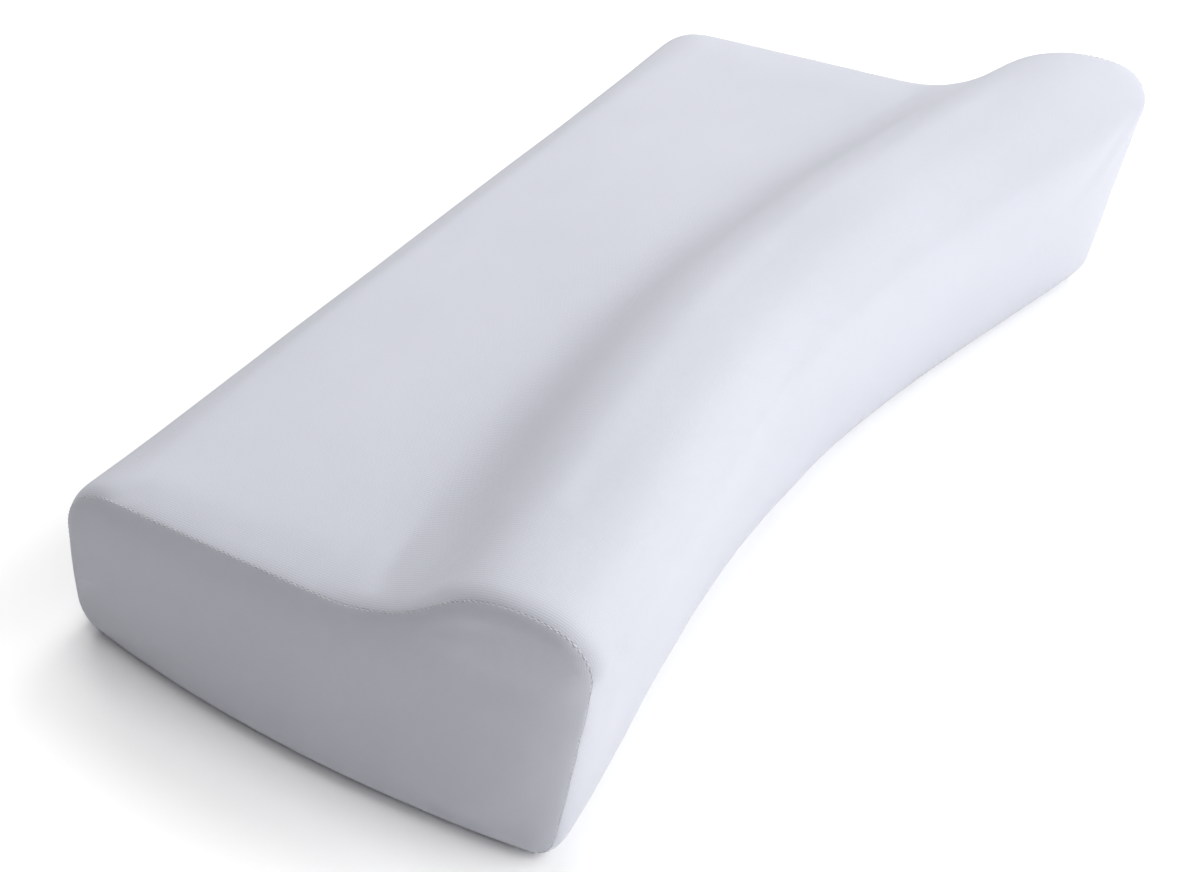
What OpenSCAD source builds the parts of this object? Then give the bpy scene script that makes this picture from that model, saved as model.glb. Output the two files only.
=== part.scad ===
// Contoured neck pillow for cervical traction and support.
// A moulded foam core in a knitted liner, inside a removable zipped cover.
// Origin: middle of the footprint, on the plane the pillow stands on.
// X runs along the pillow, -Y is the shoulder side with the tall neck roll, +Z is up.
// All lengths are in millimetres, all angles in degrees.

/* [Overall size] */
// Length between the two end faces, before they bulge
pillow_len = 476; // [400:2:560]
// Distance from the middle to the foot of the back face
back_foot = 162.4; // [140:0.1:190]
// Height of the flat head rest
rest_height = 98.5; // [70:0.5:120]
// Height of the neck roll
roll_height = 138; // [100:1:160]

/* [Cross-section] */
// Angle by which the back face leans forwards
back_lean = 13; // [0:1:20]
// Radius of the lower back edge
low_back_radius = 16; // [14:1:22]
// Radius between the back face and the head rest
top_back_radius = 42; // [30:1:46]
// Radius of the hollow between the head rest and the neck roll, at the ends
hollow_radius = 100; // [60:1:110]
// Radius of the hollow at mid-length
mid_hollow_radius = 50; // [40:1:110]
// Y where the head rest starts to curve up
hollow_start = -15.9; // [-30:0.1:0]
// Steepest slope of the rise to the neck roll
rise_angle = 36.5; // [25:0.5:38]
// Radius of the crest of the neck roll
crest_radius = 76; // [50:1:80]
// Direction the skin faces where the crest turns into the nose
crest_end = 102; // [95:1:110]
// Radius of the nose of the neck roll
nose_radius = 21; // [18:1:30]
// Angle by which the nose overhangs the foot of the front face
overhang = 16.4; // [5:0.1:20]
// Radius of the lower front edge
low_front_radius = 18; // [14:1:22]

/* [Shoulder curve and ends] */
// Depth of the shoulder curve at mid-length
shoulder_depth = 40; // [0:1:55]
// Sharpness of the shoulder curve, 1 is the roundest
shoulder_power = 1.2; // [1:0.05:2]
// Radius of the edges around the end faces
end_radius = 11; // [9:1:14]
// How far each end face bulges out near the floor
end_bulge = 15; // [0:1:20]

/* [Cover and core] */
// Thickness of the cover cloth
cover_thick = 1.4; // [1:0.1:1.4]
// Thickness of the knitted liner
liner_thick = 0.8; // [0.5:0.1:0.9]
// Gap between two cover panels at a seam
seam_gap = 1.2; // [1:0.1:2]
// Thickness of the seam thread
thread_size = 0.8; // [0.5:0.1:0.9]

/* [Zip] */
// Length of the closed row of teeth
chain_len = 414; // [300:6:414]
// Height of the zip above the floor
zip_height = 41; // [38:1:46]
// Opening between the cover panels over the zip, which closes beyond its ends
zip_gap = 8; // [7.6:0.1:9]
// Distance between neighbouring teeth of one row
tooth_pitch = 3; // [2.5:0.5:4]
// Width of one zip tape
tape_width = 13; // [10:1:14]
// Length of the pull tab
pull_len = 24; // [16:1:30]

/* [Part to draw] */
// Name of one part, or all

/* [Hidden] */
// Depths below the face of the cover
tape_face = 1.5;
tape_thick = 0.5;
liner_depth = 3.3;
core_depth = 4.5;
// End stations
half_len = pillow_len / 2;
flat_half = half_len - end_radius;
// The zip's opening is fully open up to gap_margin beyond the teeth
gap_margin = 4;
gap_start = chain_len / 2 + gap_margin;
seam_turn = 45;
// Half of a seam gap, as an angle around the end edge
seam_half_turn = seam_gap / 2 / end_radius * 180 / PI;
// The back strip that the shoulder curve leaves straight
straight_strip = 20;

// Unit vector that points a degrees above +Y, in the YZ plane
function dir(a) = [cos(a), sin(a)];

// Faces of the section
back_face = dir(back_lean);
rise_face = dir(90 - rise_angle);
front_angle = 180 + overhang;
front_face = dir(front_angle);

// Centres of the section's arcs
back_reach = back_foot * back_face.x;
low_back_y = (back_reach - low_back_radius * (1 + back_face.y)) / back_face.x;
low_back_mid = [low_back_y, low_back_radius];
top_back_z = rest_height - top_back_radius;
top_back_y = (back_reach - top_back_radius - top_back_z * back_face.y) / back_face.x;
top_back_mid = [top_back_y, top_back_z];
hollow_mid = [hollow_start, rest_height + hollow_radius];
crest_z = roll_height - crest_radius;
crest_drop = (crest_z - hollow_mid.y) * rise_face.y;
crest_y = hollow_start - (crest_radius + hollow_radius + crest_drop) / rise_face.x;
crest_mid = [crest_y, crest_z];
nose_mid = crest_mid + (crest_radius - nose_radius) * dir(crest_end);
front_reach = nose_mid * front_face + nose_radius;
low_front_y = (front_reach - low_front_radius * (1 + front_face.y)) / front_face.x;
low_front_mid = [low_front_y, low_front_radius];
// Front to back middle of the section, and half its depth
section_mid = (back_foot + nose_mid.x - nose_radius) / 2;
section_half = (back_foot - nose_mid.x + nose_radius) / 2;
face_mid = [section_mid, rest_height / 2];
face_scales = [0.7, 0.35];

// Arcs of the section: centre, radius (negative when hollow), first and last facing direction
low_back = [low_back_mid, low_back_radius, -90, back_lean];
top_back = [top_back_mid, top_back_radius, back_lean, 90];
hollow = [hollow_mid, -hollow_radius, 90, 90 - rise_angle];
crest = [crest_mid, crest_radius, 90 - rise_angle, crest_end];
nose = [nose_mid, nose_radius, crest_end, front_angle];
low_front = [low_front_mid, low_front_radius, front_angle, 270];
// The front seam sits on the lower front edge, at this part of its arc
front_seam = 0.5;
low_front_arc = low_front_radius * (270 - front_angle) * PI / 180;
front_seam_half = seam_gap / 2 / low_front_arc;
// Steps along each arc, a half of the lower front arc, the head rest, the rise,
// the front face, the underside and each half of the back face
cover_steps = [6, 3, 7, 2, 5, 11, 2];
core_steps = [4, 2, 4, 2, 4, 8, 2];
// Steps from end to end, without the rounded edges
cover_body_steps = 16;
core_body_steps = 12;
// Steps around each rounded end edge, or a part of it
cover_turn_steps = 3;
core_turn_steps = 3;
liner_turn_steps = 2;
// Sides of the seam threads and of the round holes and pins
thread_sides = 5;
pin_sides = 24;
hole_sides = 32;

function clamp(v) = max(0, min(1, v));
function flatten(rows) = [for (row = rows) each row];
function reversed(list) = [for (i = [len(list) - 1:-1:0]) list[i]];

// Point of an arc, t from 0 to 1 along it, depth below the cover's face
function arc_point(arc, depth, t) =
    arc[0] + (arc[1] - depth) * dir(arc[2] + (arc[3] - arc[2]) * t);

// Points of an arc between two fractions of it
function arc_run(arc, depth, steps, from = 0, to = 1) =
    [for (i = [0:steps]) arc_point(arc, depth, from + (to - from) * i / steps)];

// Points strictly between p and q
function between(p, q, steps) = [for (i = [1:1:steps - 1]) p + (q - p) * i / steps];

// Half of the opening over the zip, which closes to a seam between gap_start and the end edge
function half_gap(x) =
    let (t = clamp((abs(x) - gap_start) / (flat_half - gap_start)))
    zip_gap / 2 + (seam_gap - zip_gap) / 2 * t;

// Point of the back face, up from the middle of the zip
function back_point(up, depth) =
    [back_foot - zip_height * tan(back_lean), zip_height]
    + up * dir(90 + back_lean) - depth * back_face;

// Section from the zip over the top and down to the front seam
function upper_line(depth, from, to, steps) =
    let (
        arc_steps = steps[0],
        start = back_point(from, depth),
        a = arc_run(top_back, depth, arc_steps),
        b = arc_run(hollow, depth, arc_steps),
        c = arc_run(crest, depth, arc_steps),
        d = arc_run(nose, depth, arc_steps),
        e = arc_run(low_front, depth, steps[1], 0, to)
    )
    concat(
        [start], between(start, a[0], steps[6]), a,
        between(a[arc_steps], b[0], steps[2]), b,
        between(b[arc_steps], c[0], steps[3]), c,
        [for (i = [1:arc_steps]) d[i]],
        between(d[arc_steps], e[0], steps[4]), e
    );

// Section from the front seam along the underside and up to the zip
function lower_line(depth, from, to, steps) =
    let (
        a = arc_run(low_front, depth, steps[1], from, 1),
        b = arc_run(low_back, depth, steps[0]),
        end = back_point(to, depth)
    )
    concat(
        a, between(a[steps[1]], b[0], steps[5]), b,
        between(b[steps[0]], end, steps[6]), [end]
    );

// Whole section, closed
function section(depth, steps) =
    let (
        upper = upper_line(depth, 0, front_seam, steps),
        lower = lower_line(depth, front_seam, 0, steps)
    )
    concat(upper, [for (i = [1:len(lower) - 2]) lower[i]]);

// Height of the top at y where the hollow has radius r and meets the same rise
function hollow_top(y, r) =
    let (
        start = hollow_start - (hollow_radius - r) * tan(rise_angle / 2),
        run = start - y,
        reach = r * sin(rise_angle),
        past = max(0, run - reach),
        turned = min(max(0, run), reach)
    )
    rest_height + r - sqrt(r * r - turned * turned) + past * tan(rise_angle);

// Moves a straight pillow's point to its place: tighter hollow, shoulder curve, bulge of the end face
function shaped(x, p) =
    let (
        u = clamp(abs(x) / half_len),
        curve = shoulder_depth * pow(cos(90 * u), shoulder_power),
        t = clamp((back_foot - straight_strip - p.x) / (back_foot - straight_strip - hollow_start)),
        share = t * t * (3 - 2 * t),
        low = 1 - clamp(p.y / rest_height),
        off_mid = (p.x - section_mid) / section_half,
        bulge = end_bulge * low * max(0, 1 - off_mid * off_mid) * u * u,
        dip = hollow_top(p.x, mid_hollow_radius) - hollow_top(p.x, hollow_radius)
    )
    [x + sign(x) * bulge, p.x + curve * share, p.y + dip * (1 - u * u) * clamp(p.y / rest_height)];

// Station on the edge of an end: side is -1 or 1, turn 0 is on the long skin, 90 on the end face
function edge_station(side, turn, depth) =
    [side * (flat_half + (end_radius - depth) * sin(turn)),
     end_radius - (end_radius - depth) * cos(turn)];

// Stations [x, depth] from end to end, as far around the end edges as turn
function stations(depth, turn, body_steps, turn_steps) = concat(
    [for (i = [turn_steps:-1:1]) edge_station(-1, turn * i / turn_steps, depth)],
    [[-flat_half, depth]],
    [for (i = [0:body_steps]) [gap_start * (2 * i / body_steps - 1), depth]],
    [[flat_half, depth]],
    [for (i = [1:turn_steps]) edge_station(1, turn * i / turn_steps, depth)]
);

// Closed ring of the section at a station
function ring(s, steps) = [for (p = section(s[1], steps)) shaped(s[0], p)];

// Rings around the rounded edge of an end, from turn to the end face
function edge_rings(side, depth, turn, turn_steps, steps) = [
    for (i = [0:turn_steps])
        ring(edge_station(side, turn + (90 - turn) * i / turn_steps, depth), steps)
];

// Rings on an end face, each the rim shrunk towards its middle
function face_rings(side, depth, scales, steps) = [
    for (k = scales)
        [for (p = section(end_radius, steps))
            shaped(side * (half_len - depth), face_mid + (p - face_mid) * k)]
];

// Middle point of an end face
function face_point(side, depth) = shaped(side * (half_len - depth), face_mid);

// Two triangles per cell of a grid of points
function grid_faces(rows, cols, first, flip, loop = false) = [
    for (i = [0:rows - 2], j = [0:loop ? cols - 1 : cols - 2])
        let (a = first + i * cols + j, b = first + i * cols + (j + 1) % cols)
        each flip ? [[a, b, b + cols], [a, b + cols, a + cols]]
                  : [[a, b + cols, b], [a, a + cols, b + cols]]
];

// Strip of triangles between two lists of point numbers
function strip_faces(a, b, flip) = [
    for (i = [0:len(a) - 2])
        each flip ? [[a[i], a[i + 1], b[i + 1]], [a[i], b[i + 1], b[i]]]
                  : [[a[i], b[i + 1], a[i + 1]], [a[i], b[i], b[i + 1]]]
];

// Fan from one point number to a closed ring
function fan_faces(tip, first, cols, flip) = [
    for (j = [0:cols - 1])
        let (a = first + j, b = first + (j + 1) % cols)
        flip ? [tip, b, a] : [tip, a, b]
];

// Solid between an outer and an inner grid of points, closed around its four rims
module thick_patch(outer, inner) {
    rows = len(outer);
    cols = len(outer[0]);
    n = rows * cols;
    first_row = [for (j = [0:cols - 1]) j];
    last_row = [for (j = first_row) (rows - 1) * cols + j];
    first_col = [for (i = [0:rows - 1]) i * cols];
    last_col = [for (i = first_col) i + cols - 1];
    polyhedron(
        points = concat(flatten(outer), flatten(inner)),
        faces = concat(
            grid_faces(rows, cols, 0, false),
            grid_faces(rows, cols, n, true),
            strip_faces(first_row, [for (j = first_row) n + j], true),
            strip_faces(last_row, [for (j = last_row) n + j], false),
            strip_faces(first_col, [for (i = first_col) n + i], false),
            strip_faces(last_col, [for (i = last_col) n + i], true)
        )
    );
}

// Solid between an outer and an inner tube of points, closed around its two rims
module thick_tube(outer, inner) {
    rows = len(outer);
    cols = len(outer[0]);
    n = rows * cols;
    first_row = [for (j = [0:cols]) j % cols];
    last_row = [for (j = first_row) (rows - 1) * cols + j];
    polyhedron(
        points = concat(flatten(outer), flatten(inner)),
        faces = concat(
            grid_faces(rows, cols, 0, false, true),
            grid_faces(rows, cols, n, true, true),
            strip_faces(first_row, [for (j = first_row) n + j], true),
            strip_faces(last_row, [for (j = last_row) n + j], false)
        )
    );
}

// Shallow cap between an outer and an inner set of rings that both end in a point
module thick_cap(outer, inner, outer_tip, inner_tip, flip) {
    rows = len(outer);
    cols = len(outer[0]);
    n = rows * cols;
    rim = [for (j = [0:cols]) j % cols];
    polyhedron(
        points = concat(flatten(outer), flatten(inner), [outer_tip, inner_tip]),
        faces = concat(
            grid_faces(rows, cols, 0, flip, true),
            fan_faces(2 * n, (rows - 1) * cols, cols, !flip),
            grid_faces(rows, cols, n, !flip, true),
            fan_faces(2 * n + 1, n + (rows - 1) * cols, cols, flip),
            strip_faces(rim, [for (j = rim) n + j], !flip)
        )
    );
}

// Solid with closed rings from tip to tip
module ringed_solid(rings, first_tip, last_tip) {
    rows = len(rings);
    cols = len(rings[0]);
    n = rows * cols;
    polyhedron(
        points = concat(flatten(rings), [first_tip, last_tip]),
        faces = concat(
            grid_faces(rows, cols, 0, false, true),
            fan_faces(n, 0, cols, false),
            fan_faces(n + 1, n - cols, cols, true)
        )
    );
}

// Body of the pillow, moulded in one piece
module foam_core() {
    skin = [
        for (s = stations(core_depth, 90, core_body_steps, core_turn_steps))
            ring(s, core_steps)
    ];
    left = reversed(face_rings(-1, core_depth, face_scales, core_steps));
    right = face_rings(1, core_depth, face_scales, core_steps);
    color("Gainsboro")
        ringed_solid(
            concat(left, skin, right),
            face_point(-1, core_depth), face_point(1, core_depth)
        );
}

// Rings of the liner's sleeve at one depth
function sleeve(depth) = [
    for (s = stations(depth, seam_turn - seam_half_turn, core_body_steps, liner_turn_steps))
        ring(s, core_steps)
];

// Knitted sleeve around the core, open at both ends
module liner_sleeve() {
    color("WhiteSmoke") thick_tube(sleeve(liner_depth), sleeve(liner_depth + liner_thick));
}

// Rings of an end piece at one depth, from its seam over the end face
function end_rings(side, depth, turn_steps, steps) = concat(
    edge_rings(side, depth, seam_turn + seam_half_turn, turn_steps, steps),
    face_rings(side, depth, face_scales, steps)
);

// End piece of the liner or the cover
module end_piece(side, depth, thick, turn_steps, steps) {
    thick_cap(
        end_rings(side, depth, turn_steps, steps),
        end_rings(side, depth + thick, turn_steps, steps),
        face_point(side, depth), face_point(side, depth + thick), side < 0
    );
}

module liner_end_left() {
    color("WhiteSmoke") end_piece(-1, liner_depth, liner_thick, liner_turn_steps, core_steps);
}

module liner_end_right() {
    color("WhiteSmoke") end_piece(1, liner_depth, liner_thick, liner_turn_steps, core_steps);
}

// Stations of the long cover panels at one depth
function panel_stations(depth) =
    stations(depth, seam_turn - seam_half_turn, cover_body_steps, cover_turn_steps);

// Points of the top panel at one depth, from the zip to the front seam
function top_panel(depth) = [
    for (s = panel_stations(depth))
        let (seam_from = front_seam - front_seam_half)
        [for (p = upper_line(s[1], half_gap(s[0]), seam_from, cover_steps)) shaped(s[0], p)]
];

// Points of the base panel at one depth, from the front seam to the zip
function base_panel(depth) = [
    for (s = panel_stations(depth))
        let (seam_to = front_seam + front_seam_half)
        [for (p = lower_line(s[1], seam_to, -half_gap(s[0]), cover_steps)) shaped(s[0], p)]
];

// Cover panel over the head rest, the neck roll and the front
module cover_top() {
    color("White") thick_patch(top_panel(0), top_panel(cover_thick));
}

// Cover panel under the pillow, up to the zip at the back
module cover_base() {
    color("White") thick_patch(base_panel(0), base_panel(cover_thick));
}

module cover_end_left() {
    color("White") end_piece(-1, 0, cover_thick, cover_turn_steps, cover_steps);
}

module cover_end_right() {
    color("White") end_piece(1, 0, cover_thick, cover_turn_steps, cover_steps);
}

// Closed thread around an end seam, lying in the gap between two cover panels
module end_seam(side) {
    rows = [
        for (k = [0:thread_sides - 1])
            let (
                a = 360 * k / thread_sides,
                turn = seam_turn + thread_size / 2 * cos(a) / end_radius * 180 / PI,
                depth = cover_thick / 2 + thread_size / 2 * sin(a)
            )
            ring(edge_station(side, turn, depth), cover_steps)
    ];
    cols = len(rows[0]);
    loop = [for (j = [0:cols]) j % cols];
    last_row = [for (j = loop) (thread_sides - 1) * cols + j];
    polyhedron(
        points = flatten(rows),
        faces = concat(
            grid_faces(thread_sides, cols, 0, side < 0, true),
            strip_faces(last_row, loop, side < 0)
        )
    );
}

module seam_thread_left() {
    color("Silver") end_seam(-1);
}

module seam_thread_right() {
    color("Silver") end_seam(1);
}

// Thread along the lower front edge, between the top and base panels
module seam_thread_front() {
    mid_depth = cover_thick / 2;
    turn = seam_turn - 2 * seam_half_turn;
    rings = [
        for (s = stations(mid_depth, turn, cover_body_steps, cover_turn_steps))
            [for (k = [0:thread_sides - 1])
                let (
                    a = 360 * k / thread_sides,
                    t = front_seam + thread_size / 2 * cos(a) / low_front_arc,
                    deep = s[1] + thread_size / 2 * sin(a)
                )
                shaped(s[0], arc_point(low_front, deep, t))]
    ];
    tips = [rings[0], rings[len(rings) - 1]];
    color("Silver")
        ringed_solid(
            rings,
            [for (p = tips[0]) 1 / thread_sides] * tips[0],
            [for (p = tips[1]) 1 / thread_sides] * tips[1]
        );
}

// The zip's own frame: x from right to left, y up the back face, z outwards, 0 on the cover's face
module on_back_face() {
    foot = back_point(0, 0);
    translate([0, foot.x, foot.y])
        rotate([90 - back_lean, 0, 180])
            children();
}

// Teeth and tapes: heights are from the cover's face, widths from the middle of the zip
chain_top = -0.4;
chain_bottom = -tape_face;
chain_half = 2.2;
spine_width = 1.2;
tooth_width = 1.2;
tooth_reach = 0.8;
tooth_count = floor(chain_len / tooth_pitch);
tape_slit = 1.2;
tape_over = 18;
tape_len = chain_len + 2 * tape_over;
// Stops at both ends of the chain
stop_len = 2.5;
stop_space = 0.2;
stop_height = chain_top - chain_bottom;
stop_mid = (chain_top + chain_bottom) / 2;
stop_centre = (chain_len + stop_len) / 2 + stop_space;
// Slider: two plates joined by side walls and a wedge, with a bridge for the pull
slider_len = 10;
slider_half = 3.3;
slider_lift = 0.2;
slider_face = chain_top + slider_lift;
slider_corner = 1.2;
slider_wall_len = 7.6;
slider_plate = 0.8;
slider_side = 0.8;
slot_play = 0.12;
wedge_width = 0.8;
wedge_len = 3;
wedge_gap = 0.3;
bridge_len = 6.8;
bridge_hole = 4.4;
bridge_width = 2.4;
bridge_rise = 2.2;
bridge_bar = 0.9;
// The closed end of the zip is on the left, at -X, which is +x in the zip's frame
slider_home = chain_len / 2 + wedge_gap + wedge_len - slider_len / 2;
// Pull tab
pin_radius = 0.55;
pull_width = 6;
pull_thick = 0.9;
arm_play = 0.3;
grip_corner = 1.8;
grip_overlap = 0.4;
grip_hole_r = 1.1;
// Stitches that hold the tapes
stitch_pitch = 3.5;
stitch_len = 2.4;
stitch_width = 0.5;
stitch_thick = stitch_width / 2;
stitch_inset = 2.2;

// Woven tape above or below the teeth
module zip_tape(side) {
    on_back_face()
        translate([0, side * (tape_slit + tape_width) / 2, -tape_face - tape_thick / 2])
            cube([tape_len, tape_width, tape_thick], center = true);
}

module zip_tape_upper() {
    color("White") zip_tape(1);
}

module zip_tape_lower() {
    color("White") zip_tape(-1);
}

// Comb outline of one row of teeth, its spine away from the middle
function comb(side) =
    let (
        first = -chain_len / 2 + (side > 0 ? 0 : tooth_pitch / 2) + tooth_pitch / 4,
        root = side * (chain_half - spine_width),
        tip = -side * tooth_reach,
        low = tooth_width / 2
    )
    concat(
        [[-chain_len / 2, side * chain_half]],
        [[-chain_len / 2, root]],
        [for (i = [0:tooth_count - 1])
            let (x = first + i * tooth_pitch)
            each [[x - low, root], [x - low, tip], [x + low, tip], [x + low, root]]],
        [[chain_len / 2, root]],
        [[chain_len / 2, side * chain_half]]
    );

module zip_teeth(side) {
    on_back_face()
        translate([0, 0, chain_bottom])
            linear_extrude(height = chain_top - chain_bottom)
                polygon(comb(side));
}

module zip_teeth_upper() {
    color("White") zip_teeth(1);
}

module zip_teeth_lower() {
    color("White") zip_teeth(-1);
}

// Two stops at the closed end, one on each row of teeth
module zip_top_stops() {
    stop_wide = chain_half - tape_slit / 2;
    color("White")
        on_back_face()
            for (side = [-1, 1])
                translate([stop_centre, side * (tape_slit + stop_wide) / 2, stop_mid])
                    cube([stop_len, stop_wide, stop_height], center = true);
}

// One stop across both rows at the open end
module zip_bottom_stop() {
    color("White")
        on_back_face()
            translate([-stop_centre, 0, stop_mid])
                cube([stop_len, 2 * chain_half, stop_height], center = true);
}

// Row of stitches that holds a tape under a cover panel
module zip_stitches(side) {
    count = floor(tape_len / stitch_pitch);
    on_back_face()
        for (i = [0:count - 1])
            translate([
                (i + 0.5 - count / 2) * stitch_pitch,
                side * (zip_gap / 2 + stitch_inset),
                stitch_thick / 2
            ])
                cube([stitch_len, stitch_width, stitch_thick], center = true);
}

module zip_stitches_upper() {
    color("Silver") zip_stitches(1);
}

module zip_stitches_lower() {
    color("Silver") zip_stitches(-1);
}

// Rectangle with round corners, as points
function rounded_rect(long, wide, radius) = [
    for (c = [[1, 1, 0], [-1, 1, 90], [-1, -1, 180], [1, -1, 270]], a = [0:18:90])
        [c.x * (long / 2 - radius), c.y * (wide / 2 - radius)] + radius * dir(c.z + a)
];

// Slider that runs along the closed chain, its wedge at the leading end
module zip_slider() {
    plate_top = slider_face + slider_plate;
    plate_mid = slider_face + slider_plate / 2;
    wall_y = slider_half - slider_side / 2;
    wall_low = chain_bottom + slot_play;
    lower_top = chain_bottom - tape_thick - slot_play;
    lower_mid = lower_top - slider_plate / 2;
    leg = (bridge_len - bridge_hole) / 2;
    color("Silver")
        on_back_face()
            translate([slider_home, 0, 0]) {
                translate([0, 0, slider_face])
                    linear_extrude(height = slider_plate)
                        polygon(rounded_rect(slider_len, 2 * slider_half, slider_corner));
                for (side = [-1, 1])
                    translate([0, side * wall_y, (plate_mid + wall_low) / 2])
                        cube([slider_wall_len, slider_side, plate_mid - wall_low], center = true);
                translate([0, 0, lower_top - slider_plate])
                    linear_extrude(height = slider_plate)
                        polygon(rounded_rect(slider_len, 2 * slider_half, slider_corner));
                translate([(slider_len - wedge_len) / 2, 0, (plate_mid + lower_mid) / 2])
                    cube([wedge_len, wedge_width, plate_mid - lower_mid], center = true);
                translate([0, 0, plate_top])
                    rotate([90, 0, 0])
                        linear_extrude(height = bridge_width, center = true)
                            polygon([
                                [-bridge_len / 2, -slider_plate / 2],
                                [-bridge_len / 2, 0],
                                [-bridge_len / 2 + leg / 2, bridge_rise],
                                [bridge_len / 2 - leg / 2, bridge_rise],
                                [bridge_len / 2, 0],
                                [bridge_len / 2, -slider_plate / 2],
                                [bridge_hole / 2, -slider_plate / 2],
                                [bridge_hole / 2, bridge_rise - bridge_bar],
                                [-bridge_hole / 2, bridge_rise - bridge_bar],
                                [-bridge_hole / 2, -slider_plate / 2]
                            ]);
            }
}

// Pull tab: a pin under the slider's bridge, two arms beside it and a flat grip
module zip_pull() {
    pin_z = slider_face + slider_plate + (bridge_rise - bridge_bar) / 2;
    arm = (pull_width - bridge_width) / 2 - arm_play;
    arm_len = bridge_len / 2 + arm_play;
    grip_len = pull_len - arm_len;
    grip = rounded_rect(grip_len + 2 * grip_overlap, pull_width, grip_corner);
    color("Silver")
        on_back_face()
            translate([slider_home, 0, pin_z]) {
                rotate([90, 0, 0])
                    cylinder(r = pin_radius, h = pull_width, center = true, $fn = pin_sides);
                for (side = [-1, 1])
                    translate([-arm_len / 2, side * (pull_width - arm) / 2, 0])
                        cube([arm_len, arm, pull_thick], center = true);
                difference() {
                    translate([-arm_len - grip_len / 2, 0, -pull_thick / 2])
                        linear_extrude(height = pull_thick)
                            polygon(grip);
                    translate([grip_hole_r * 2 - pull_len, 0, -pull_thick])
                        cylinder(r = grip_hole_r, h = 2 * pull_thick, $fn = hole_sides);
                }
            }
}

// Named parts

foam_core();
liner_sleeve();
liner_end_left();
liner_end_right();
cover_top();
cover_base();
cover_end_left();
cover_end_right();
seam_thread_left();
seam_thread_right();
seam_thread_front();
zip_tape_upper();
zip_tape_lower();
zip_teeth_upper();
zip_teeth_lower();
zip_top_stops();
zip_bottom_stop();
zip_stitches_upper();
zip_stitches_lower();
zip_slider();
zip_pull();
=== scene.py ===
"""Contoured neck pillow: cloth cover, liner, foam core and zip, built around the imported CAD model."""

from math import radians

import bmesh
import bpy
import numpy as np
from mathutils import Matrix, Vector, noise


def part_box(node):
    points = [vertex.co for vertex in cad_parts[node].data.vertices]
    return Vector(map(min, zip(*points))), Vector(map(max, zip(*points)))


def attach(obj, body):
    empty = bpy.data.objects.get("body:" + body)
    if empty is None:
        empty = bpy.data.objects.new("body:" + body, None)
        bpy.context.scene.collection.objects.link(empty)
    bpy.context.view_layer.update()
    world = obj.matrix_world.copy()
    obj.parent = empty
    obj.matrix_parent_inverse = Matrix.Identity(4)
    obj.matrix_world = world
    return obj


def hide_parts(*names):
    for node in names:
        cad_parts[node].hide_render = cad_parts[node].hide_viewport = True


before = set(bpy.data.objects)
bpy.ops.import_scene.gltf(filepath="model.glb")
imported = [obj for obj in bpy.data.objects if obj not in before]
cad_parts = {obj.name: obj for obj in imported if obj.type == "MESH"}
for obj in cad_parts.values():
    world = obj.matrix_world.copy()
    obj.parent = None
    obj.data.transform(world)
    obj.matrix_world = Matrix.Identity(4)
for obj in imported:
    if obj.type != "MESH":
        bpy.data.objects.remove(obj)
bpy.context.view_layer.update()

MM = 0.001
rng = np.random.default_rng(7)

# ---------------------------------------------------------------- camera and light
IMAGE_WIDTH = 1200
FOCAL_PX = 2122.2
SENSOR = 36.0
CAMERA_AT = Vector((-0.6496, -0.5284, 0.6520))
YAW, PITCH, ROLL = radians(49.53), radians(37.42), radians(-7.47)


def camera():
    """The view from above the near left corner, slightly rolled."""
    data = bpy.data.cameras.new("camera")
    data.sensor_width = SENSOR
    data.lens = FOCAL_PX / IMAGE_WIDTH * SENSOR
    data.clip_start, data.clip_end = 0.05, 50
    obj = bpy.data.objects.new("camera", data)
    bpy.context.scene.collection.objects.link(obj)
    ahead = Vector((np.sin(YAW) * np.cos(PITCH), np.cos(YAW) * np.cos(PITCH), -np.sin(PITCH)))
    level = Vector((np.cos(YAW), -np.sin(YAW), 0))
    above = level.cross(ahead)
    right = level * np.cos(ROLL) + above * np.sin(ROLL)
    up = above * np.cos(ROLL) - level * np.sin(ROLL)
    obj.matrix_world = Matrix.Translation(CAMERA_AT) @ Matrix((right, up, -ahead)).transposed().to_4x4()
    bpy.context.scene.camera = obj


LIGHT_DISTANCE = 2.4
LIGHT_SIZE = 1.1
LIGHT_AIM = Vector((0, 0, 0.05))
WHITE = (1, 1, 1, 1)
FLOOR_HALF = 20.0
# The floor is lit near the pillow and glows by itself further out, between these distances
GLOW_FROM, GLOW_TO = 0.42, 1.1
GLOW = 1.02
WORLD_LIGHT = 0.02
# Soft square lights: name, direction from the pillow, watts, and whether it lights only the floor
LIGHTS = [
    ("front_low", (0.15, -0.93, 0.33), 19.8, False),
    ("front_left", (-0.3, -0.7, 0.6), 10.8, False),
    ("front_right", (0.5, -0.6, 0.6), 15.1, False),
    ("right_high", (0.55, 0, 0.83), 20.8, False),
    ("overhead", (0.05, 0, 1), 18.3, False),
    ("back_right", (0.5, 0.6, 0.6), 12.5, False),
    ("back_high", (0.1, 0.5, 0.85), 6.0, False),
    ("floor_front", (0.15, -0.8, 0.6), 21.8, True),
    ("floor_left", (-0.4, -0.1, 0.9), 6.0, True),
]


def area_light(name, toward, watts):
    """A square soft light that faces the pillow."""
    data = bpy.data.lights.new(name, "AREA")
    data.shape = "SQUARE"
    data.size = LIGHT_SIZE
    data.energy = watts
    obj = bpy.data.objects.new(name, data)
    bpy.context.scene.collection.objects.link(obj)
    toward = Vector(toward).normalized()
    obj.location = LIGHT_AIM + toward * LIGHT_DISTANCE
    obj.rotation_euler = toward.to_track_quat("Z", "Y").to_euler()
    return obj


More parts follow.
